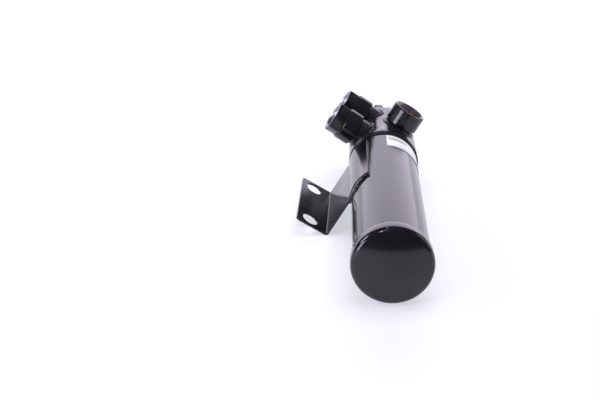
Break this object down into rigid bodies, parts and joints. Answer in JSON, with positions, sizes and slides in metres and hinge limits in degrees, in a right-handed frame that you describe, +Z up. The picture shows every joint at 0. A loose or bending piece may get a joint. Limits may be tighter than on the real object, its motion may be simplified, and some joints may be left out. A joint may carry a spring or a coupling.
{
  "type": "receiver drier canister",
  "caption": "Cylindrical steel receiver drier lying on its side: domed ends, welded bent bracket, hexagon couplings and a sight glass boss on the head.",
  "frame": {"origin": "centre of the footprint, on the table that the canister lies on", "axes": "+Y along the tank from its bottom cap to its head, +Z up"},
  "size_m": [0.1448, 0.3944, 0.1062],
  "materials": {
    "black_paint": "semi-gloss black enamel",
    "brass": "turned brass",
    "desiccant_beads": "packed molecular-sieve beads",
    "filter_felt": "pressed glass-fibre felt",
    "label_paper": "matt white label stock",
    "lens_glass": "polished glass",
    "plated_steel": "zinc-plated steel",
    "seal_rubber": "black nitrile rubber",
    "spring_steel": "bright spring wire"
  },
  "bodies": {
    "canister": {"shell_tube": "black_paint", "bottom_cap": "black_paint", "head_cup": "black_paint", "bottom_seam_weld": "black_paint", "head_seam_weld": "black_paint", "mounting_bracket": "black_paint", "bracket_edge_weld": "black_paint", "bracket_under_weld": "black_paint", "inlet_coupling": "black_paint", "inlet_neck": "black_paint", "inlet_neck_weld": "black_paint", "inlet_guide": "plated_steel", "inlet_poppet_spring": "spring_steel", "inlet_cage": "plated_steel", "inlet_seal": "seal_rubber", "outlet_coupling": "black_paint", "outlet_neck": "black_paint", "outlet_neck_weld": "black_paint", "outlet_guide": "plated_steel", "outlet_poppet_spring": "spring_steel", "outlet_cage": "plated_steel", "outlet_seal": "seal_rubber", "sight_glass_boss": "black_paint", "sight_glass_weld": "black_paint", "sight_glass_gasket": "seal_rubber", "sight_glass_lens": "lens_glass", "sight_glass_ring": "brass", "fusible_plug_boss": "black_paint", "fusible_plug_washer": "plated_steel", "fusible_plug": "brass", "service_valve": "plated_steel", "lower_plate": "plated_steel", "lower_felt": "filter_felt", "desiccant_bed": "desiccant_beads", "upper_felt": "filter_felt", "retainer_spring": "spring_steel", "spring_stop": "plated_steel", "pickup_tube": "plated_steel", "label": "label_paper"},
    "inlet_poppet": {"inlet_poppet": "brass"},
    "outlet_poppet": {"outlet_poppet": "brass"},
    "service_pin": {"service_valve_pin": "brass"},
    "retainer": {"upper_plate": "plated_steel"}
  },
  "joints": [
    {"name": "inlet_poppet_slide", "type": "slide", "parent": "canister", "child": "inlet_poppet", "axis": [0.8348, 0, -0.5505], "range_m": [0, 0.004], "stiffness_N_per_m": 600, "springref_m": -0.004, "deforming": ["inlet_poppet_spring"]},
    {"name": "outlet_poppet_slide", "type": "slide", "parent": "canister", "child": "outlet_poppet", "axis": [0.8348, 0, -0.5505], "range_m": [0, 0.004], "stiffness_N_per_m": 600, "springref_m": -0.004, "deforming": ["outlet_poppet_spring"]},
    {"name": "service_pin_slide", "type": "slide", "parent": "canister", "child": "service_pin", "axis": [0, -1, 0], "range_m": [0, 0.002], "stiffness_N_per_m": 500, "springref_m": -0.002},
    {"name": "retainer_slide", "type": "slide", "parent": "canister", "child": "retainer", "axis": [0, 1, 0], "range_m": [0, 0.006], "stiffness_N_per_m": 1500, "springref_m": -0.02, "deforming": ["retainer_spring"]}
  ]
}
